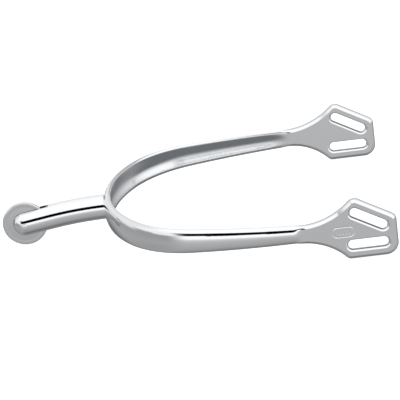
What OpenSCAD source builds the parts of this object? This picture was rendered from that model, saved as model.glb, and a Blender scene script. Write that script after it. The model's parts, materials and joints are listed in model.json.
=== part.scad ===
// Dressage spur: a U-shaped heel band with two slotted strap plates, a forked
// neck and a smooth roller on a riveted pin.
// Design axes: X towards the toe with x = 0 on the band's inner face at the heel,
// Y across the heel, Z up with z = 0 at the band's mid height.
// Every node is then moved by place(), which puts the origin under the middle of
// the whole spur, at the level that it rests on.

/* [Heel band] */
// Thickness of the band, arms and plates
band_t = 2.4; // [1.8:0.1:3]
// Height of the band at the back of the heel
band_h = 10; // [9.4:0.1:12]
// Height that an arm tapers to, where its edges would meet the flares' slopes
arm_h = 5.9; // [5:0.1:7]
// Inner radius at the back of the heel
rear_r = 46; // [42:0.5:50]
// Half of the angle that the back arc turns
rear_turn = 33; // [28:0.5:38]
// Inner radius of the shoulders
shoulder_r = 31.5; // [28:0.5:34]
// Angle that a shoulder turns
shoulder_turn = 44.5; // [42:0.5:48]
// Inner radius of the slightly bowed arms
arm_r = 215; // [180:5:240]
// Distance from the heel to the front edge of the plates
reach = 94; // [92:0.5:98]

/* [Strap plates] */
// Height of the upper rear corner above the band's mid height
plate_top = 11.35; // [10.8:0.05:12]
// Height of the upper front corner
plate_nose = 3.4; // [3:0.1:4.5]
// Distance of the upper rear corner from the front edge
plate_back = 13.6; // [13:0.1:14]
// Distance of the lower rear corner from the front edge
plate_heel = 16.6; // [16:0.1:17]
// Length of the rise from the arm to the upper rear corner
flare_top_run = 9.1; // [9.1:0.1:10]
// Length of the fall from the arm to the lower rear corner
flare_low_run = 7.2; // [7:0.1:8]
// Radius of the flare above the arm
flare_top_r = 25; // [20:0.5:25]
// Radius of the flare below the arm
flare_low_r = 20; // [16:0.5:20]
// Radius of the two upper corners
corner_r = 2.6; // [1.5:0.1:2.8]
// Radius of the lower rear corner
heel_corner_r = 2.1; // [1.2:0.1:2.4]
// Radius of the lower front corner
toe_corner_r = 4.2; // [3:0.1:4.5]

/* [Strap slots] */
// Width of a strap slot
slot_w = 3; // [2.4:0.1:3.4]
// Overall length of a strap slot
slot_len = 13.2; // [12:0.1:13.6]
// Slope of the upper slot, which follows the plate's upper edge
slot_slope = 30; // [28:0.5:32]
// Distance of the upper slot's middle from the front edge
upper_slot_in = 9; // [8.8:0.1:9.4]
// Distance of the upper slot's middle below the upper front corner
upper_slot_drop = 0.25; // [0:0.05:0.6]
// Distance of the lower slot's middle from the front edge
lower_slot_in = 9.8; // [9:0.1:10]
// Height of the lower slot's middle above the plate's lower edge
lower_slot_rise = 5; // [4.4:0.1:5.4]

/* [Neck] */
// Diameter of the neck
neck_d = 8.5; // [7:0.1:9]
// Distance from the heel to the roller's centre
neck_reach = 30.4; // [28:0.1:34]
// Angle that the neck bends down before its straight fork
neck_bend = 8.2; // [6:0.1:12]
// Length of the straight fork, from its root to the roller's centre
fork_len = 9; // [8.8:0.1:11]
// Depth of the flat seat that is milled into the band for the neck
seat_depth = 0.2; // [0.2:0.05:0.5]
// Diameter of the spigot that is brazed into the band
spigot_d = 5; // [4:0.1:6]
// Width of the fork slot
fork_gap = 1.8; // [1.8:0.05:2.2]
// Space between the roller's rim and the bottom of the fork slot
fork_relief = 0.9; // [0.4:0.1:1.2]

/* [Roller] */
// Diameter of the roller
roller_d = 15.4; // [13:0.1:16]
// Thickness of the roller
roller_t = 1.5; // [1.2:0.05:1.6]
// Bevel on the roller's rim
roller_bevel = 0.35; // [0.1:0.05:0.4]
// Diameter of the axle pin
pin_d = 2.5; // [2:0.1:3]
// Radial running clearance between roller and pin
pin_clear = 0.05; // [0.03:0.01:0.1]

/* [Hidden] */
$fn = 64;
steel = [0.80, 0.81, 0.83];
satin = [0.68, 0.69, 0.71];
big = 200; // longer than the spur, for cutting shapes

// Plan of the arms: three arcs that turn the inner face from across to along
arm_turn = 90 - rear_turn - shoulder_turn;
toward = function (a) [cos(a), -sin(a)];
rear_c = [rear_r, 0];
shoulder_c = rear_c - (rear_r - shoulder_r) * toward(rear_turn);
arm_c = shoulder_c + (arm_r - shoulder_r) * toward(rear_turn + shoulder_turn);
plate_y = arm_c.y + arm_r; // inner face of a strap plate

// Neck: it leaves its seat level, and bends down into a straight fork
seat_x = seat_depth - band_t;
neck_bend_r = (neck_reach + seat_x - fork_len * cos(neck_bend)) / sin(neck_bend);
neck_dip = neck_bend_r * (1 - cos(neck_bend)) + fork_len * sin(neck_bend);
roller_r = roller_d / 2;
fork_depth = roller_r + fork_relief;

// The spur lies level on the roller and on the lower edges of the plates
rest_z = -(neck_dip + roller_r);
back_x = -(neck_reach + roller_r);

// Side outline of the band, as corners with their radii, clockwise from the heel
outline = [
    [back_x, band_h / 2, 0],
    [0, band_h / 2, 0],
    [reach - plate_back - flare_top_run, arm_h / 2, flare_top_r],
    [reach - plate_back, plate_top, corner_r],
    [reach, plate_nose, corner_r],
    [reach, rest_z, toe_corner_r],
    [reach - plate_heel, rest_z, heel_corner_r],
    [reach - plate_heel - flare_low_run, -arm_h / 2, flare_low_r],
    [0, -band_h / 2, 0],
    [back_x, -band_h / 2, 0],
];

// Middles of the strap slots in the side view
upper_slot = [reach - upper_slot_in, plate_nose - upper_slot_drop];
lower_slot = [reach - lower_slot_in, rest_z + lower_slot_rise];

unit = function (v) v / norm(v);

// Points of one rounded corner b between its neighbours a and c
function corner(a, b, c, r, n = 16) =
    r == 0 ? [b] :
    let (
        u = unit(a - b), v = unit(c - b),
        half = acos(u * v) / 2,
        m = b + unit(u + v) * r / sin(half),
        p = b + u * r / tan(half) - m,
        q = b + v * r / tan(half) - m,
        start = atan2(p.y, p.x),
        swing = atan2(p.x * q.y - p.y * q.x, p * q)
    )
    [for (i = [0 : n]) m + r * [cos(start + swing * i / n), sin(start + swing * i / n)]];

function flat(p) = [p.x, p.y];

function rounded(corners) =
    let (k = len(corners))
    [for (i = [0 : k - 1]) each corner(
        flat(corners[(i + k - 1) % k]), flat(corners[i]), flat(corners[(i + 1) % k]), corners[i][2])];

module place() {
    translate([-(reach + back_x) / 2, 0, -rest_z]) children();
}

// Stands a drawing of the XZ plane upright, through the whole width
module upright() {
    rotate([90, 0, 0]) linear_extrude(height = big, center = true) children();
}

// A strip of the band's plan about c, between two headings
module arc_strip(c, r, from, to) {
    intersection() {
        translate(c) difference() {
            circle(r = r + band_t);
            circle(r = r);
        }
        polygon([c, c - 2 * r * toward(from), c - 2 * r * toward(to)]);
    }
}

module half_plan() {
    arc_strip(rear_c, rear_r, 0, rear_turn);
    arc_strip(shoulder_c, shoulder_r, rear_turn, rear_turn + shoulder_turn);
    arc_strip(arm_c, arm_r, rear_turn + shoulder_turn, 90);
    translate([arm_c.x, plate_y]) square([reach - arm_c.x, band_t]);
}

module strap_slot(middle, slope) {
    straight = slot_len - slot_w;
    translate([middle.x, 0, middle.y]) rotate([0, slope, 0]) {
        cube([straight, big, slot_w], center = true);
        for (end = [-1, 1])
            translate([end * straight / 2, 0, 0]) rotate([90, 0, 0])
                cylinder(d = slot_w, h = big, center = true);
    }
}

module heel_band() {
    color(steel) place() difference() {
        intersection() {
            linear_extrude(height = big, center = true) {
                half_plan();
                mirror([0, 1]) half_plan();
            }
            upright() polygon(rounded(outline));
        }
        strap_slot(upper_slot, slot_slope);
        strap_slot(lower_slot, 0);
        rotate([0, 90, 0]) cylinder(d = spigot_d, h = 4 * band_t, center = true);
        translate([seat_x, 0, 0]) rotate([0, -90, 0]) cylinder(d = neck_d, h = band_t);
    }
}

// Puts its children at the roller's centre, in line with the neck
module at_roller() {
    translate([-neck_reach, 0, -neck_dip]) rotate([0, -neck_bend, 0]) children();
}

// The bent bar, and the straight fork with its domed tip and a stub inside the bar
module neck_bar() {
    translate([seat_x, 0, -neck_bend_r]) rotate([90, 0, 0]) rotate([0, 0, 90])
        rotate_extrude(angle = neck_bend, $fn = 360) translate([neck_bend_r, 0]) circle(d = neck_d);
    at_roller() rotate([0, -90, 0]) translate([0, 0, -fork_len]) rotate_extrude() {
        translate([0, -1]) square([neck_d / 2 - 1, 2]);
        square([neck_d / 2, fork_len]);
        translate([0, fork_len]) intersection() {
            circle(d = neck_d);
            square(neck_d);
        }
    }
}

module neck() {
    color(steel) place() {
        difference() {
            neck_bar();
            at_roller() translate([(fork_depth - neck_d) / 2, 0, 0])
                cube([fork_depth + neck_d, fork_gap, 2 * neck_d], center = true);
            at_roller() rotate([90, 0, 0]) cylinder(d = pin_d, h = 2 * neck_d, center = true);
        }
        translate([seat_x, 0, 0]) rotate([0, 90, 0]) cylinder(d = spigot_d, h = -seat_x);
    }
}

module roller() {
    hole = pin_d / 2 + pin_clear;
    color(satin) place() at_roller() rotate([90, 0, 0]) rotate_extrude() polygon([
        [hole, -roller_t / 2],
        [roller_r - roller_bevel, -roller_t / 2],
        [roller_r, -roller_t / 2 + roller_bevel],
        [roller_r, roller_t / 2 - roller_bevel],
        [roller_r - roller_bevel, roller_t / 2],
        [hole, roller_t / 2],
    ]);
}

// Riveted over and ground flush with the round cheeks
module axle_pin() {
    color(steel) place() at_roller() intersection() {
        rotate([90, 0, 0]) cylinder(d = pin_d, h = 2 * neck_d, center = true);
        sphere(d = neck_d);
    }
}

heel_band();
neck();
roller();
axle_pin();
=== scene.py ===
"""Looks of the dressage spur: polished steel, a satin roller and a bright studio.

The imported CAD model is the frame. Lengths below are in millimetres, as in the CAD source,
and become metres in the frame's axes through `place`.
"""

import json
import math

import bmesh
import bpy
import numpy as np
from mathutils import Matrix, Vector
from mathutils.geometry import delaunay_2d_cdt


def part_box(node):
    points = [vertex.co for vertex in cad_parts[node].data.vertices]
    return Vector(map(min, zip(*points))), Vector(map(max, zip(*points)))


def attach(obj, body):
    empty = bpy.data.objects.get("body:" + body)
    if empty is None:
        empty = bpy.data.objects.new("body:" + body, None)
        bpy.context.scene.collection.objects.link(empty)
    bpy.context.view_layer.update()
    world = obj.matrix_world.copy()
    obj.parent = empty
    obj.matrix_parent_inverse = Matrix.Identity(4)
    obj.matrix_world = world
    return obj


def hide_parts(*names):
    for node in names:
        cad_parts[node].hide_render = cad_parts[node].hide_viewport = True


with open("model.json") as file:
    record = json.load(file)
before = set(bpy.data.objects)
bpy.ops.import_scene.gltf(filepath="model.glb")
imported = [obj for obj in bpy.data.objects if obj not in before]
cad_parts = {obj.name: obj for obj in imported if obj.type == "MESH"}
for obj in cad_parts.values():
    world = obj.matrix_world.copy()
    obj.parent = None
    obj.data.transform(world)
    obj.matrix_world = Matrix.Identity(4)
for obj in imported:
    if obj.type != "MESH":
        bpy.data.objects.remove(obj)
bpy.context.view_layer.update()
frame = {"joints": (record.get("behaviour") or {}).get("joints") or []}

MM = 0.001

# ---- driving dimensions, as in the CAD source --------------------------------------------

BAND_T = 2.4            # thickness of the band and its strap plates
BAND_H = 10.0           # height at the back of the heel
ARM_H = 5.9             # height where an arm's edges would meet the flares' slopes
REAR_R, REAR_TURN = 46.0, 33.0
SHOULDER_R, SHOULDER_TURN = 31.5, 44.5
ARM_R = 215.0
REACH = 94.0
PLATE_TOP, PLATE_NOSE = 11.35, 3.4
PLATE_BACK, PLATE_HEEL = 13.6, 16.6
FLARE_TOP_RUN, FLARE_LOW_RUN = 9.1, 7.2
FLARE_TOP_R, FLARE_LOW_R = 25.0, 20.0
CORNER_R, TOE_CORNER_R = 2.6, 4.2
HEEL_CORNER_R = 2.08    # 2.1 in the CAD source
SLOT_W, SLOT_LEN, SLOT_SLOPE = 3.0, 13.2, 30.0
UPPER_SLOT_IN, UPPER_SLOT_DROP = 9.0, 0.25
LOWER_SLOT_IN, LOWER_SLOT_RISE = 9.8, 5.0
NECK_R = 4.25
NECK_REACH, NECK_BEND, FORK_LEN = 30.4, 8.2, 9.0
SEAT_X = -2.2
FORK_GAP, FORK_RELIEF = 1.8, 0.9
ROLLER_R, ROLLER_T = 7.7, 1.5
SLOT_SHADE_RIM = 0.2         # width of the painted shade line beside the fork slot, a dark line painted along its edges
PIN_R, PIN_CLEAR = 1.25, 0.05

# ---- places, from the frame --------------------------------------------------------------

band_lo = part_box("heel_band")[0]
neck_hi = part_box("neck")[1]
HEEL_X = band_lo.x / MM + BAND_T            # the band's inner face at the heel
MID_Z = neck_hi.z / MM - NECK_R             # the band's mid height
REST_Z = -MID_Z
AXLE = Vector(frame["joints"][0]["pos_m"])  # the roller's centre
FORK_TILT = math.radians(NECK_BEND)


def place(x, y, z):
    """A point of the CAD source's axes, in the frame and in metres."""
    return Vector(((x + HEEL_X) * MM, y * MM, (z + MID_Z) * MM))


# ---- camera ------------------------------------------------------------------------------

VIEW_AZIMUTH, VIEW_ELEVATION, VIEW_ROLL = 1.83, 22.0, 7.49    # degrees
VIEW_DISTANCE = 818.0                                         # to the point looked at
VIEW_TARGET = (30.2, 0.0, -1.84)
VIEW_LENS = 214.8                                             # on a 36 mm sensor


def add_camera():
    a, e, r = (math.radians(v) for v in (VIEW_AZIMUTH, VIEW_ELEVATION, VIEW_ROLL))
    back = Vector((math.sin(a) * math.cos(e), -math.cos(a) * math.cos(e), math.sin(e)))
    level = Vector((0, 0, 1)).cross(back).normalized()
    upright = back.cross(level)
    right = math.cos(r) * level - math.sin(r) * upright
    up = math.sin(r) * level + math.cos(r) * upright
    camera = bpy.data.objects.new("camera", bpy.data.cameras.new("camera"))
    camera.data.lens = VIEW_LENS
    camera.data.sensor_width = 36.0
    camera.data.clip_start, camera.data.clip_end = 0.05, 20.0
    turn = Matrix((right, up, back)).transposed()
    eye = place(*VIEW_TARGET) + back * VIEW_DISTANCE * MM
    camera.matrix_world = Matrix.Translation(eye) @ turn.to_4x4()
    bpy.context.scene.collection.objects.link(camera)
    bpy.context.scene.camera = camera


add_camera()

# ---- node helpers ------------------------------------------------------------------------


class Nodes:
    """Short calls for building a node tree."""

    def __init__(self, tree):
        self.tree = tree
        tree.nodes.clear()

    def add(self, kind, **settings):
        node = self.tree.nodes.new(kind)
        for name, value in settings.items():
            setattr(node, name, value)
        return node

    def link(self, source, target):
        self.tree.links.new(source, target)

    def put(self, socket, value):
        if isinstance(value, bpy.types.NodeSocket):
            self.link(value, socket)
        else:
            socket.default_value = value

    def math(self, operation, *values, clamp=False):
        node = self.add("ShaderNodeMath", operation=operation, use_clamp=clamp)
        for socket, value in zip(node.inputs, values):
            self.put(socket, value)
        return node.outputs[0]

    def step(self, value, low, high, to_low=0.0, to_high=1.0):
        """Runs smoothly from to_low to to_high as value goes from low to high."""
        node = self.add("ShaderNodeMapRange", interpolation_type="SMOOTHSTEP")
        for name, v in (("Value", value), ("From Min", low), ("From Max", high),
                        ("To Min", to_low), ("To Max", to_high)):
            self.put(node.inputs[name], v)
        return node.outputs["Result"]

    def noise(self, vector, scale, detail=2.0, roughness=0.5):
        node = self.add("ShaderNodeTexNoise")
        self.link(vector, node.inputs["Vector"])
        node.inputs["Scale"].default_value = scale
        node.inputs["Detail"].default_value = detail
        node.inputs["Roughness"].default_value = roughness
        return node.outputs[0]

    def stretch(self, vector, scale):
        node = self.add("ShaderNodeMapping")
        self.link(vector, node.inputs["Vector"])
        node.inputs["Scale"].default_value = scale
        return node.outputs[0]

    def mix_color(self, factor, a, b):
        node = self.add("ShaderNodeMix", data_type="RGBA")
        self.put(node.inputs[0], factor)
        self.put(node.inputs[6], a)
        self.put(node.inputs[7], b)
        return node.outputs[2]


def new_material(name):
    material = bpy.data.materials.new(name)
    material.use_nodes = True
    n = Nodes(material.node_tree)
    shader = n.add("ShaderNodeBsdfPrincipled")
    shader.inputs["Metallic"].default_value = 1.0
    out = n.add("ShaderNodeOutputMaterial")
    n.link(shader.outputs[0], out.inputs["Surface"])
    return material, n, shader


# ---- materials ---------------------------------------------------------------------------


INNER_DULL = 0.10           # extra roughness of the inner face, which softens what it mirrors


def polished_steel(name, roughness):
    """Mirror-polished stainless: buffing hairlines, duller worn edges, rougher where no mop reaches;
    painted shade makes the fork slot near black and draws a dark outline along the round edges.
    """
    material, n, shader = new_material(name)
    where = n.add("ShaderNodeTexCoord").outputs["Object"]
    cloud = n.noise(where, 90.0, 3.0)
    hair = n.noise(n.stretch(where, (180.0, 180.0, 5200.0)), 1.0, 3.0, 0.6)
    nick = n.step(n.noise(n.stretch(where, (700.0, 900.0, 1500.0)), 1.0, 2.0), 0.70, 0.76)
    edge = n.add("ShaderNodeAttribute", attribute_name="edge").outputs["Fac"]
    worn = n.math("MULTIPLY", edge, n.step(n.noise(where, 420.0, 3.0), 0.45, 0.65))
    # painted shade: darkens the ridge of each round edge into a dark outline
    painted_outline = n.math("MULTIPLY", n.step(edge, 0.45, 0.98), n.math("MULTIPLY_ADD", cloud, 0.3, 0.55))

    tint = n.mix_color(cloud, (0.74, 0.75, 0.765, 1), (0.80, 0.805, 0.81, 1))
    tint = n.mix_color(n.math("MULTIPLY", nick, 0.25), tint, (0.60, 0.61, 0.62, 1))
    # painted dark outline along the round edges
    tint = n.mix_color(painted_outline, tint, (0.22, 0.225, 0.235, 1))
    # painted shade: this mask turns the fork slot near black, with a painted dark line beside it, and
    # also makes it rougher
    slot_shade = n.add("ShaderNodeAttribute", attribute_name="slot_shade").outputs["Fac"]
    within = n.add("ShaderNodeAttribute", attribute_name="within").outputs["Fac"]
    n.link(n.mix_color(slot_shade, tint, (0.035, 0.033, 0.03, 1)), shader.inputs["Base Color"])
    rough = n.math("MULTIPLY_ADD", hair, 0.05, roughness)
    rough = n.math("MULTIPLY_ADD", slot_shade, 0.5, rough)
    rough = n.math("MULTIPLY_ADD", cloud, 0.03, rough)
    rough = n.math("MULTIPLY_ADD", worn, 0.08, rough)
    rough = n.math("MULTIPLY_ADD", within, INNER_DULL, rough)
    n.link(n.math("MULTIPLY_ADD", nick, 0.10, rough), shader.inputs["Roughness"])

    bump = n.add("ShaderNodeBump")
    bump.inputs["Strength"].default_value = 0.05
    bump.inputs["Distance"].default_value = 0.02 * MM
    n.link(n.math("SUBTRACT", hair, nick), bump.inputs["Height"])
    n.link(bump.outputs[0], shader.inputs["Normal"])
    return material


def turned_steel(name):
    """Satin stainless with the fine rings of a lathe tool, about the piece's own Y axis."""
    material, n, shader = new_material(name)
    where = n.add("ShaderNodeTexCoord").outputs["Object"]
    axes = n.add("ShaderNodeSeparateXYZ")
    n.link(where, axes.inputs[0])
    radius = n.math("SQRT", n.math("ADD", n.math("POWER", axes.outputs["X"], 2.0),
                                   n.math("POWER", axes.outputs["Z"], 2.0)))
    rings = n.add("ShaderNodeCombineXYZ")
    n.link(radius, rings.inputs["X"])
    ring = n.noise(rings.outputs[0], 5200.0, 2.0, 0.6)
    broad = n.noise(rings.outputs[0], 900.0, 2.0)
    cloud = n.noise(where, 160.0, 3.0)
    tint = n.mix_color(broad, (0.64, 0.65, 0.665, 1), (0.73, 0.735, 0.745, 1))
    tint = n.mix_color(n.math("MULTIPLY", cloud, 0.4), tint, (0.68, 0.685, 0.69, 1))
    n.link(tint, shader.inputs["Base Color"])
    n.link(n.math("MULTIPLY_ADD", ring, 0.08, 0.09), shader.inputs["Roughness"])
    bump = n.add("ShaderNodeBump")
    bump.inputs["Strength"].default_value = 0.05
    bump.inputs["Distance"].default_value = 0.02 * MM
    n.link(ring, bump.inputs["Height"])
    n.link(bump.outputs[0], shader.inputs["Normal"])
    return material


POLISHED = polished_steel("polished_steel", 0.03)
PIN_STEEL = polished_steel("pin_steel", 0.10)
TURNED = turned_steel("turned_steel")

# ---- plan of the band: arc length along its inner face -----------------------------------


def toward(degrees):
    return Vector((math.cos(math.radians(degrees)), -math.sin(math.radians(degrees))))


def plan_arcs():
    """(centre, radius, heading at its start, heading at its end, arc length at its start)."""
    bounds_deg = (0.0, REAR_TURN, REAR_TURN + SHOULDER_TURN, 90.0)
    radii = (REAR_R, SHOULDER_R, ARM_R)
    arcs, centre, start = [], Vector((REAR_R, 0.0)), 0.0
    for k, r in enumerate(radii):
        if k:
            centre = centre + (r - radii[k - 1]) * toward(bounds_deg[k])
        a, b = math.radians(bounds_deg[k]), math.radians(bounds_deg[k + 1])
        arcs.append((centre, r, a, b, start))
        start += r * (b - a)
    return arcs, start


ARCS, STRAIGHT_S = plan_arcs()
STRAIGHT_X = ARCS[-1][0].x
PLATE_Y = ARCS[-1][0].y + ARM_R


def plan_point(s):
    """Inner face's point and outward normal at a signed arc length from the heel, both in plan."""
    side, a = (1.0 if s >= 0 else -1.0), abs(s)
    for centre, r, a0, a1, start in ARCS:
        if a <= start + r * (a1 - a0):
            h = a0 + (a - start) / r
            return (centre.x - r * math.cos(h), side * (centre.y + r * math.sin(h)),
                    -math.cos(h), side * math.sin(h))
    return STRAIGHT_X + a - STRAIGHT_S, side * PLATE_Y, 0.0, side


def arc_length(x):
    """Arc length from the heel to where the inner face reaches x."""
    for centre, r, a0, a1, start in ARCS:
        h = math.acos(max(-1.0, min(1.0, (centre.x - x) / r)))
        if h <= a1 + 1e-9:
            return start + r * (h - a0)
    return STRAIGHT_S + x - STRAIGHT_X


# ---- side view of the band ---------------------------------------------------------------


def round_corners(corners, step=0.5):
    """Replaces each (x, z, radius) corner of an open outline by an arc of short steps."""
    points = [Vector(corners[0][:2])]
    for before, here, after in zip(corners, corners[1:], corners[2:]):
        b, r = Vector(here[:2]), here[2]
        u, v = (Vector(before[:2]) - b).normalized(), (Vector(after[:2]) - b).normalized()
        half = math.acos(u.dot(v)) / 2
        centre = b + (u + v).normalized() * r / math.sin(half)
        p, q = b + u * r / math.tan(half) - centre, b + v * r / math.tan(half) - centre
        swing = math.atan2(p.x * q.y - p.y * q.x, p.dot(q))
        count = max(4, math.ceil(abs(swing) * r / step))
        for i in range(count + 1):
            turn = Matrix.Rotation(swing * i / count, 2)
            points.append(centre + turn @ p)
    points.append(Vector(corners[-1][:2]))
    return points


def fill_in(points, step=0.5):
    """Adds points along the long straight stretches, and drops near-doubles."""
    out = [points[0]]
    for b in points[1:]:
        a = out[-1]
        if (b - a).length < 0.15:
            continue
        count = max(1, math.ceil((b - a).length / step))
        out += [a.lerp(b, i / count) for i in range(1, count + 1)]
    return out


SIDE = fill_in(round_corners([
    (0.0, BAND_H / 2),
    (REACH - PLATE_BACK - FLARE_TOP_RUN, ARM_H / 2, FLARE_TOP_R),
    (REACH - PLATE_BACK, PLATE_TOP, CORNER_R),
    (REACH, PLATE_NOSE, CORNER_R),
    (REACH, REST_Z, TOE_CORNER_R),
    (REACH - PLATE_HEEL, REST_Z, HEEL_CORNER_R),
    (REACH - PLATE_HEEL - FLARE_LOW_RUN, -ARM_H / 2, FLARE_LOW_R),
    (0.0, -BAND_H / 2),
]))
UPPER = np.array([p for p in SIDE if p.y > 0 and p.x < REACH - PLATE_HEEL])
LOWER = np.array([p for p in reversed(SIDE) if p.y < 0 and p.x < REACH - PLATE_HEEL])


def slot_outline(x, z, slope, count=14):
    """Rounded slot about (x, z) in the side view, sloping down towards the toe."""
    r, half = SLOT_W / 2, (SLOT_LEN - SLOT_W) / 2
    turn = Matrix.Rotation(-math.radians(slope), 2)
    ring = []
    for end in (1, -1):
        for i in range(count + 1):
            a = math.pi * (i / count - 0.5) + (0.0 if end > 0 else math.pi)
            ring.append(Vector((end * half + r * math.cos(a), r * math.sin(a))))
    ring.append(ring[0].copy())
    return [Vector((x, z)) + turn @ p for p in fill_in(ring)[:-1]]


SLOTS = [
    slot_outline(REACH - UPPER_SLOT_IN, PLATE_NOSE - UPPER_SLOT_DROP, SLOT_SLOPE),
    slot_outline(REACH - LOWER_SLOT_IN, REST_Z + LOWER_SLOT_RISE, 0.0),
]

# ---- cross-section of the band -----------------------------------------------------------

CROWN_END = (60.5, 63.0)    # the arms' crowned section flattens into the plates between these
SWELL = 0.35                # how far an arm's outer face stands proud of the plates'
CROWN, CROWN_REACH = 2.3, 0.93     # oval of the outer face: its depth, and how far of it the face reaches
HOLLOW = 0.155              # depth of the hollow inner face, as a share of its half height
HOLLOW_END = (53.0, 65.0)   # the hollow fades out between these
ARM_ROLL = 1.05             # width of the round edges of the arms
ARM_EDGE = 0.66             # how dull the arms' edges are beside the plates', whose polish is thinner; it also scales the painted dark outline on the edges
EDGE_ROLL, EDGE_BEVEL = 1.25, (0.85, 14)     # bevelled edge of a plate: width, straight share, power
SLOT_ROLL, SLOT_BEVEL = 0.8, (0.6, 4)        # the same about the slots
STAMP = (76.4, -0.3, 3.6, 1.7)     # engraved cartouche: middle, half length, half height
STAMP_DEPTH, STAMP_LINE = 0.07, 0.26
TICK_PITCH, TICKS_HALF_LEN, TICK_HALF, TICK_LEAN = 1.05, 2.1, 0.85, 0.3


def smooth(value, low, high):
    t = np.clip((value - low) / (high - low), 0.0, 1.0)
    return t * t * (3 - 2 * t)


def section(x, z):
    """Inner and outer face of the band, in mm outwards from the CAD's inner face."""
    top, low = np.interp(x, UPPER[:, 0], UPPER[:, 1]), np.interp(x, LOWER[:, 0], LOWER[:, 1])
    u = np.clip((2 * z - top - low) / (top - low), -1.0, 1.0)
    arm = 1.0 - smooth(x, *CROWN_END)
    hollow = HOLLOW * (1.0 - smooth(x, *HOLLOW_END)) * (top - low) / 2
    inner = hollow * (1 + np.cos(math.pi * u)) / 2
    outer = BAND_T + arm * (SWELL - CROWN * (1 - np.sqrt(1 - (CROWN_REACH * u) ** 2)))
    off_line = off_stamp(x - STAMP[0], z - STAMP[1])
    return inner, outer - STAMP_DEPTH * (1 - smooth(off_line, 0.0, STAMP_LINE))


def off_stamp(x, z):
    """Distance from the engraved lines: a round-ended frame with slanting ticks in it."""
    frame_line = np.abs(np.hypot(np.maximum(np.abs(x) - STAMP[2] + STAMP[3], 0.0), z) - STAMP[3])
    phase = (x - TICK_LEAN * z) / TICK_PITCH
    tick = np.abs(phase - np.round(phase)) * TICK_PITCH
    beyond = np.maximum(np.abs(x) - TICKS_HALF_LEN, 0.0) + np.maximum(np.abs(z) - TICK_HALF, 0.0)
    return np.minimum(frame_line, np.hypot(tick, 2 * beyond))


# ---- mesh of the heel band ---------------------------------------------------------------


def closed_normals(loop):
    """Unit normals of a closed loop, to the right of its direction."""
    along = np.roll(loop, -1, axis=0) - np.roll(loop, 1, axis=0)
    along /= np.linalg.norm(along, axis=1)[:, None]
    return np.stack([along[:, 1], -along[:, 0]], axis=1)


def inside(points, loop):
    """Which points lie inside a closed loop."""
    hit = np.zeros(len(points), bool)
    for a, b in zip(loop, np.roll(loop, -1, axis=0)):
        crosses = (a[1] > points[:, 1]) != (b[1] > points[:, 1])
        with np.errstate(divide="ignore", invalid="ignore"):
            at = (b[0] - a[0]) * (points[:, 1] - a[1]) / (b[1] - a[1]) + a[0]
        hit ^= crosses & (points[:, 0] < at)
    return hit


def heel_band_loops():
    """Closed loops in (arc length, height), the outline first: each with its roll's width, how much of
    a bevel it is and the bevel's shape."""
    half = np.array([(arc_length(p.x), p.y) for p in SIDE])
    mirrored = half[::-1][1:-1] * (-1, 1)
    outline = np.concatenate([half, mirrored])
    plate = smooth(np.abs(outline[:, 0]), arc_length(CROWN_END[0]), arc_length(CROWN_END[1] + 4.0))
    loops = [(outline, ARM_ROLL + (EDGE_ROLL - ARM_ROLL) * plate, plate, EDGE_BEVEL)]
    for slot in SLOTS:
        ring = np.array([(arc_length(p.x), p.y) for p in slot])
        for loop in (ring, ring[::-1] * (-1, 1)):
            loops.append((loop, np.full(len(loop), SLOT_ROLL), np.ones(len(loop)), SLOT_BEVEL))
    return loops


def lattice(loops, step):
    """Points of a triangular grid inside the rims, denser at the stamps."""
    def grid(s0, s1, z0, z1, d):
        rows = []
        for i, z in enumerate(np.arange(z0, z1, d * 0.866)):
            row = np.arange(s0 + (i % 2) * d / 2, s1, d)
            rows.append(np.stack([row, np.full(len(row), z)], 1))
        return np.concatenate(rows)

    end = arc_length(REACH)
    coarse = grid(-end, end, REST_Z, PLATE_TOP, step)
    stamp_s = arc_length(STAMP[0])
    near = ((np.abs(np.abs(coarse[:, 0]) - stamp_s) < STAMP[2] + 0.4)
            & (np.abs(coarse[:, 1] - STAMP[1]) < STAMP[3] + 0.4))
    parts = [coarse[~near]]
    for side in (-1, 1):
        parts.append(grid(side * stamp_s - STAMP[2] - 0.4, side * stamp_s + STAMP[2] + 0.4,
                          STAMP[1] - STAMP[3] - 0.4, STAMP[1] + STAMP[3] + 0.4, 0.14))
    points = np.concatenate(parts)
    keep = inside(points, loops[0])
    for loop in loops[1:]:
        keep &= ~inside(points, loop)
    points = points[keep]
    rims = np.concatenate(loops)
    clear = np.ones(len(points), bool)
    for i in range(0, len(points), 400):
        gap = np.linalg.norm(points[i:i + 400, None] - rims[None], axis=2).min(axis=1)
        clear[i:i + 400] = gap > 0.4
    return points[clear]


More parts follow.
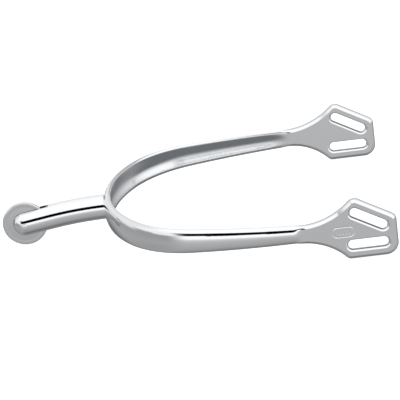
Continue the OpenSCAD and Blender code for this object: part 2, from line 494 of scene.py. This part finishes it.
def heel_band(rings=14, step=0.6):
    loops = heel_band_loops()
    flat, side_of = [], []             # (arc length, height) and -1..1 across the thickness
    faces, edge_weight = [], []
    fronts, backs, rim_loops = [], [], []
    for loop, roll, bevel, (straight, power) in loops:
        normal = closed_normals(loop)
        n, first = len(loop), len(side_of)
        for k in range(rings + 1):
            angle = math.pi * (k / rings - 0.5)
            proud = math.cos(angle)
            bevelled = math.copysign(1 - straight * proud - (1 - straight) * proud ** power, angle)
            flat += list(loop + normal * (roll * (1 - proud))[:, None])
            side_of += list(bevel * bevelled + (1 - bevel) * math.sin(angle))
            edge_weight += list(proud * (ARM_EDGE + (1 - ARM_EDGE) * bevel))
        for k in range(rings):
            for i in range(n):
                a, b = first + k * n + i, first + k * n + (i + 1) % n
                faces.append((a, a + n, b + n, b))
        backs.append(range(first, first + n))
        fronts.append(range(first + rings * n, first + (rings + 1) * n))
        rim_loops.append(np.array(flat[first + rings * n:first + (rings + 1) * n]))
    grid = lattice(rim_loops, step)
    rim = np.concatenate(rim_loops)
    corners = np.concatenate([rim, grid])
    edges, at = [], 0
    for loop in rim_loops:
        edges += [(at + i, at + (i + 1) % len(loop)) for i in range(len(loop))]
        at += len(loop)
    made = delaunay_2d_cdt([Vector(p) for p in corners], edges, [], 0, 1e-7)
    where, triangles, source = made[0], made[2], made[3]
    assert len(where) == len(corners), "the triangulation added points"
    index = [ids[0] for ids in source]
    middles = np.array([np.mean([where[i] for i in t], axis=0) for t in triangles])
    solid = inside(middles, rim_loops[0])
    for loop in rim_loops[1:]:
        solid &= ~inside(middles, loop)

    front_ids = [i for ids in fronts for i in ids]
    back_ids = [i for ids in backs for i in ids]
    for ids, side in ((front_ids, 1.0), (back_ids, -1.0)):
        ids += range(len(side_of), len(side_of) + len(grid))
        flat += list(grid)
        side_of += [side] * len(grid)
        edge_weight += [0.0] * len(grid)
    for t, keep in zip(triangles, solid):
        if keep:
            a, b, c = (index[i] for i in t)
            faces.append((front_ids[a], front_ids[b], front_ids[c]))
            faces.append((back_ids[c], back_ids[b], back_ids[a]))

    flat, side_of = np.array(flat), np.array(side_of)
    plan = np.array([plan_point(s) for s in flat[:, 0]])
    inner, outer = section(plan[:, 0], flat[:, 1])
    out = (inner + outer) / 2 + side_of * (outer - inner) / 2
    points = [place(x + nx * w, y + ny * w, z) for (x, y, nx, ny), w, z in zip(plan, out, flat[:, 1])]
    piece = add_mesh("heel_band_steel", points, faces, POLISHED, edge_weight)
    inside_face = np.clip(-side_of, 0.0, 1.0) ** 2
    within = piece.data.attributes.new("within", "FLOAT", "POINT")
    within.data.foreach_set("value", inside_face)
    piece.data.set_sharp_from_angle(angle=math.radians(20))
    return piece


# ---- mesh helpers ------------------------------------------------------------------------


def add_mesh(name, points, faces, material, edge_weight=None):
    mesh = bpy.data.meshes.new(name)
    mesh.from_pydata([tuple(p) for p in points], [], faces)
    mesh.validate()
    build = bmesh.new()
    build.from_mesh(mesh)
    bmesh.ops.recalc_face_normals(build, faces=build.faces)
    build.to_mesh(mesh)
    build.free()
    mesh.polygons.foreach_set("use_smooth", [True] * len(mesh.polygons))
    attribute = mesh.attributes.new("edge", "FLOAT", "POINT")
    attribute.data.foreach_set("value", edge_weight or [0.0] * len(mesh.vertices))
    mesh.materials.append(material)
    piece = bpy.data.objects.new(name, mesh)
    bpy.context.scene.collection.objects.link(piece)
    return piece


def lathe(profile, steps=160):
    """Points and faces of an open or closed (radius, height) profile turned about Y."""
    points, faces, n = [], [], len(profile)
    for i in range(steps):
        a = 2 * math.pi * i / steps
        points += [Vector((r * math.cos(a), y, r * math.sin(a))) for r, y in profile]
    for i in range(steps):
        j = (i + 1) % steps
        for k in range(n - 1):
            faces.append((i * n + k, i * n + k + 1, j * n + k + 1, j * n + k))
    return points, faces


def quarter(cx, cy, r, a0, a1, count=6):
    """Points of an arc about (cx, cy), angles in degrees."""
    return [(cx + r * math.cos(math.radians(a0 + (a1 - a0) * i / count)),
             cy + r * math.sin(math.radians(a0 + (a1 - a0) * i / count))) for i in range(count + 1)]


def apply_modifiers(piece):
    bpy.context.view_layer.update()
    made = piece.evaluated_get(bpy.context.evaluated_depsgraph_get())
    mesh = bpy.data.meshes.new_from_object(made)
    piece.modifiers.clear()
    piece.data = mesh


# ---- neck --------------------------------------------------------------------------------


SEAT_EDGE, SEAT_EDGE_DROP = 0.35, 0.25              # softened edge at the seat: length, depth
BEND_STEPS, FORK_STEPS, DOME_STEPS = 48, 24, 24
BORE_GROWTH = 0.03                                  # gap about the pin, which shows as a fine ring
NECK_BEVEL = 0.12


def neck_line():
    """Centreline of the neck: an arc, then the straight fork, then a dome with falling radius."""
    run = FORK_LEN * math.cos(FORK_TILT)
    bend_r = (NECK_REACH + SEAT_X - run) / math.sin(FORK_TILT)
    rows = []                                     # (x, z, tilt, radius)
    for inset in (SEAT_EDGE, 0.12, 0.0):
        drop = (inset / SEAT_EDGE) ** 2 * SEAT_EDGE_DROP
        rows.append((SEAT_X - SEAT_EDGE + inset, 0.0, 0.0, NECK_R - drop))
    for i in range(1, BEND_STEPS + 1):
        a = FORK_TILT * i / BEND_STEPS
        rows.append((SEAT_X - bend_r * math.sin(a), -bend_r * (1 - math.cos(a)), a, NECK_R))
    x0, z0 = rows[-1][:2]
    ahead = (-math.cos(FORK_TILT), -math.sin(FORK_TILT))
    for i in range(1, FORK_STEPS + 1):
        d = FORK_LEN * i / FORK_STEPS
        rows.append((x0 + ahead[0] * d, z0 + ahead[1] * d, FORK_TILT, NECK_R))
    x1, z1 = rows[-1][:2]
    for i in range(1, DOME_STEPS):
        a = math.pi / 2 * i / DOME_STEPS
        d = NECK_R * math.sin(a)
        rows.append((x1 + ahead[0] * d, z1 + ahead[1] * d, FORK_TILT, NECK_R * math.cos(a)))
    tip = (x1 + ahead[0] * NECK_R, z1 + ahead[1] * NECK_R)
    return rows, tip


def neck(around=144):
    rows, tip = neck_line()
    points, faces = [], []
    for x, z, tilt, r in rows:
        for k in range(around):
            a = 2 * math.pi * k / around
            out = r * math.sin(a)
            points.append(place(x + out * math.sin(-tilt), r * math.cos(a), z + out * math.cos(tilt)))
    for i in range(len(rows) - 1):
        for k in range(around):
            a, b = i * around + k, i * around + (k + 1) % around
            faces.append((a, b, b + around, a + around))
    points += [place(tip[0], 0, tip[1]), place(SEAT_X, 0, 0)]
    last = (len(rows) - 1) * around
    for k in range(around):
        faces.append((last + k, last + (k + 1) % around, len(points) - 2))
        faces.append(((k + 1) % around, k, len(points) - 1))
    piece = add_mesh("neck_steel", points, faces, POLISHED)

    depth = ROLLER_R + FORK_RELIEF
    size = (depth + 2 * NECK_R, FORK_GAP, 4 * NECK_R)
    cut(piece, box_object("fork_cut", size, (depth - 2 * NECK_R) / 2))
    bore = add_mesh("bore_cut", *rod_mesh(PIN_R + BORE_GROWTH, 3 * NECK_R), POLISHED)
    bore.location = AXLE
    cut(piece, bore)
    bevel = piece.modifiers.new("edges", "BEVEL")
    bevel.limit_method, bevel.angle_limit = "ANGLE", math.radians(40)
    bevel.width, bevel.segments = NECK_BEVEL * MM, 2
    apply_modifiers(piece)
    piece.data.set_sharp_from_angle(angle=math.radians(38))
    mark_slot_shade(piece)
    return piece


def mark_slot_shade(piece):
    """Marks the walls and end of the fork slot, which polishing cannot reach, for a rougher finish and
    painted shade (a near-black colour); the faces just beside them get 0.7 of both, a painted dark line.
    """
    wall = (FORK_GAP / 2 + 0.02) * MM
    slot_shade = piece.data.attributes.new("slot_shade", "FLOAT", "FACE")
    back = AXLE.x + (ROLLER_R + 1.0) * MM
    for face in piece.data.polygons:
        cheek = abs(face.normal.y) > 0.99
        end = abs(face.normal.x) > 0.95 and face.center.x > AXLE.x
        in_fork = face.center.x < back
        if in_fork and abs(face.center.y) < wall and (cheek or end):
            slot_shade.data[face.index].value = 1.0
        # painted shade: a dark line on the faces just beside the slot
        elif in_fork and abs(face.center.y) < wall + SLOT_SHADE_RIM * MM:
            slot_shade.data[face.index].value = 0.7


def box_object(name, size, offset):
    """A cutting box about the roller's centre, moved along the fork towards the band."""
    build = bmesh.new()
    bmesh.ops.create_cube(build, size=MM)
    bmesh.ops.scale(build, vec=size, verts=build.verts)
    bmesh.ops.translate(build, vec=(offset * MM, 0, 0), verts=build.verts)
    mesh = bpy.data.meshes.new(name)
    build.to_mesh(mesh)
    build.free()
    cutter = bpy.data.objects.new(name, mesh)
    cutter.matrix_world = Matrix.Translation(AXLE) @ Matrix.Rotation(-FORK_TILT, 4, "Y")
    bpy.context.scene.collection.objects.link(cutter)
    return cutter


def rod_mesh(radius, length, around=48):
    half = length / 2
    points, faces = lathe([(radius * MM, -half * MM), (radius * MM, half * MM)], around)
    faces.append(tuple(2 * i for i in range(around)))
    faces.append(tuple(2 * i + 1 for i in reversed(range(around))))
    return points, faces


def cut(piece, cutter):
    modifier = piece.modifiers.new(cutter.name, "BOOLEAN")
    modifier.operation, modifier.object, modifier.solver = "DIFFERENCE", cutter, "EXACT"
    apply_modifiers(piece)
    bpy.data.objects.remove(cutter)


# ---- roller and pin ----------------------------------------------------------------------


RIM_ROUND, BORE_CHAMFER = 0.42, 0.15
STEP_RADII, STEP_DEPTH = (5.9, 6.05, 6.3, 6.45), 0.015     # the turned step on each face
PIN_GROOVE = 0.10


def roller():
    """Smooth disc with a rounded rim, a shallow turned step and a chamfered bore."""
    half, hole = ROLLER_T / 2, PIN_R + PIN_CLEAR
    floor = half - STEP_DEPTH
    face = [(hole, half - BORE_CHAMFER), (hole + BORE_CHAMFER, half)]
    face += list(zip(STEP_RADII, (half, floor, floor, half)))
    upper = face + quarter(ROLLER_R - RIM_ROUND, half - RIM_ROUND, RIM_ROUND, 90, 0)
    lower = [(r, -y) for r, y in reversed(upper)]
    profile = [(r * MM, y * MM) for r, y in upper + lower]
    points, faces = lathe(profile + profile[:1], 240)
    piece = add_mesh("roller_steel", points, faces, TURNED)
    weld(piece)
    piece.location = AXLE
    piece.data.set_sharp_from_angle(angle=math.radians(30))
    return piece


def axle_pin():
    """Riveted pin whose ends follow the fork's round cheeks, with a faint groove about each."""
    end = []
    for i in range(9):
        r = PIN_R * (1 - i / 8)
        end.append((r, math.sqrt(NECK_R ** 2 - r * r) - (PIN_GROOVE if i == 0 else 0.0)))
    profile = [(r * MM, y * MM) for r, y in end[:-1]] + [(0.01 * MM, end[-1][1] * MM)]
    profile = [(r, -y) for r, y in reversed(profile)] + profile
    points, faces = lathe(profile, 64)
    piece = add_mesh("axle_pin_steel", points, faces, PIN_STEEL)
    piece.location = AXLE
    close_holes(piece)
    piece.data.set_sharp_from_angle(angle=math.radians(40))
    return piece


def weld(piece):
    build = bmesh.new()
    build.from_mesh(piece.data)
    bmesh.ops.remove_doubles(build, verts=build.verts, dist=1e-7)
    bmesh.ops.recalc_face_normals(build, faces=build.faces)
    build.to_mesh(piece.data)
    build.free()


def close_holes(piece):
    build = bmesh.new()
    build.from_mesh(piece.data)
    bmesh.ops.holes_fill(build, edges=[e for e in build.edges if e.is_boundary], sides=0)
    bmesh.ops.recalc_face_normals(build, faces=build.faces)
    for f in build.faces:
        f.smooth = True
    build.to_mesh(piece.data)
    build.free()


# ---- the pieces, on their bodies ---------------------------------------------------------

for make, node, body, slot_name in (
    (heel_band, "heel_band", "spur", "polished_steel"),
    (neck, "neck", "spur", "polished_steel"),
    (roller, "roller", "wheel", "satin_steel"),
    (axle_pin, "axle_pin", "spur", "polished_steel"),
):
    made = make()
    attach(made, body)
    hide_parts(node)

# ---- studio ------------------------------------------------------------------------------


# Light at each elevation in degrees, towards the camera's side and away from it
FRONT_SKY = ((-90, 0.18), (-74, 0.30), (-60, 0.42), (-40, 0.49), (-24, 0.55), (-16, 0.63), (-8, 0.80),
             (-2, 1.28), (86, 1.34), (90, 1.04))
BACK_SKY = ((-90, 0.18), (-55, 0.11), (-25, 0.16), (-14, 0.45), (-5, 0.92), (15, 1.04), (30, 1.06),
            (54, 1.25), (61, 1.04), (90, 1.04))
LEFT_SKY = ((-90, 0.18), (-55, 0.36), (-24, 0.46), (0, 0.40), (7, 0.46), (14, 1.10), (40, 1.20),
            (90, 1.04))
LEFT_WALL, RIGHT_WALL = 1.02, 0.60                  # walls at the sides behind the spur
GAP_FOOT, GAP_HEAD = (12.6, 14.2), (37.4, 39.2)     # edges of the dark gap about the camera
GAP_LEFT, GAP_RIGHT = (-0.74, -0.58), (0.32, 0.12)  # and its ends, along X
LEFT_TURN, BACK_TURN = (-0.45, -0.80), (0.1, 0.95)  # where the front gives way to left and back


def studio_sky():
    """White dome with a dark gap about the camera, over a grey lower half that darkens behind."""
    world = bpy.data.worlds.new("studio")
    bpy.context.scene.world = world
    world.use_nodes = True
    n = Nodes(world.node_tree)
    axes = n.add("ShaderNodeSeparateXYZ")
    n.link(n.add("ShaderNodeTexCoord").outputs["Generated"], axes.inputs[0])
    x, y, z = axes.outputs
    height = n.math("MULTIPLY", n.math("ARCSINE", z), 180 / math.pi)      # degrees above the horizon

    def profile(stops):
        """Runs straight from stop to stop."""
        total = stops[0][1]
        for (low, before), (high, after) in zip(stops, stops[1:]):
            ramp = n.add("ShaderNodeMapRange", interpolation_type="LINEAR", clamp=True)
            for name, v in (("Value", height), ("From Min", low), ("From Max", high),
                            ("To Min", 0.0), ("To Max", after - before)):
                n.put(ramp.inputs[name], v)
            total = n.math("ADD", ramp.outputs["Result"], total)
        return total

    def blend(share, a, b):
        kept = n.math("MULTIPLY", a, n.math("SUBTRACT", 1.0, share))
        return n.math("ADD", kept, n.math("MULTIPLY", b, share))

    front, back, left = profile(FRONT_SKY), profile(BACK_SKY), profile(LEFT_SKY)
    gap = n.math("MULTIPLY", n.step(height, *GAP_FOOT), n.step(height, *GAP_HEAD[::-1]))
    gap = n.math("MULTIPLY", gap, n.math("MULTIPLY", n.step(x, *GAP_LEFT), n.step(x, *GAP_RIGHT)))
    front = blend(gap, front, 0.0)

    glow = blend(n.step(x, *LEFT_TURN), blend(n.step(y, *BACK_TURN), front, back), left)
    aside = n.math("MULTIPLY", n.step(n.math("ABSOLUTE", x), 0.22, 0.42), n.step(y, -0.05, 0.25))
    upright = n.math("MULTIPLY", n.step(height, -6.0, 6.0), n.step(height, 66.0, 50.0))
    aside = n.math("MULTIPLY", aside, upright)
    glow = blend(aside, glow, n.step(x, -0.1, 0.1, LEFT_WALL, RIGHT_WALL))
    background = n.add("ShaderNodeBackground")
    tone = n.add("ShaderNodeCombineColor")
    for socket, tint in zip(tone.inputs, (0.985, 0.99, 1.0)):
        n.link(n.math("MULTIPLY", glow, tint), socket)
    seen = n.add("ShaderNodeLightPath").outputs["Is Camera Ray"]
    n.link(n.mix_color(seen, tone.outputs[0], (1.2, 1.2, 1.2, 1)), background.inputs["Color"])
    out = n.add("ShaderNodeOutputWorld")
    n.link(background.outputs[0], out.inputs["Surface"])


def stage_plane(name, x0, x1, y0, y1, z):
    mesh = bpy.data.meshes.new(name)
    mesh.from_pydata([(x0, y0, z), (x1, y0, z), (x1, y1, z), (x0, y1, z)], [], [(0, 1, 2, 3)])
    plane = bpy.data.objects.new(name, mesh)
    bpy.context.scene.collection.objects.link(plane)
    return plane


def add_floor():
    floor = stage_plane("floor", -3, 3, -3, 3, 0.0)
    material = bpy.data.materials.new("floor_white")
    material.use_nodes = True
    shader = material.node_tree.nodes["Principled BSDF"]
    shader.inputs["Base Color"].default_value = (0.5, 0.5, 0.5, 1)
    shader.inputs["Roughness"].default_value = 0.9
    shader.inputs["Emission Color"].default_value = (1, 1, 1, 1)
    shader.inputs["Emission Strength"].default_value = 0.75     # a lit table, which softens the shadows
    floor.data.materials.append(material)
    floor.visible_glossy = False        # the steel mirrors the studio's grey lower half instead


def add_flag():
    """A dark card under the band, seen only in reflections and mostly in the inner faces'."""
    card = stage_plane("flag", HEEL_X * MM, (HEEL_X + CROWN_END[1]) * MM, -0.002, 0.040, -0.003)
    material = bpy.data.materials.new("flag_grey")
    material.use_nodes = True
    n = Nodes(material.node_tree)
    axes = n.add("ShaderNodeSeparateXYZ")
    n.link(n.add("ShaderNodeTexCoord").outputs["Object"], axes.inputs[0])
    across = axes.outputs["Y"]
    ends = n.math("ADD", n.step(across, 0.018, 0.004, 0.0, 0.8), n.step(across, 0.030, 0.040, 0.0, 0.45))
    ends = n.math("MULTIPLY", ends, n.step(axes.outputs["X"], (HEEL_X + 12) * MM, (HEEL_X + 30) * MM))
    glow = n.add("ShaderNodeEmission")
    n.link(n.mix_color(ends, (0.19, 0.20, 0.21, 1), (0.55, 0.56, 0.57, 1)), glow.inputs["Color"])
    out = n.add("ShaderNodeOutputMaterial")
    n.link(glow.outputs[0], out.inputs["Surface"])
    card.data.materials.append(material)
    card.visible_camera = card.visible_diffuse = card.visible_shadow = card.visible_transmission = False


studio_sky()
add_floor()
add_flag()
view = bpy.context.scene.view_settings
view.view_transform, view.look = "Standard", "None"
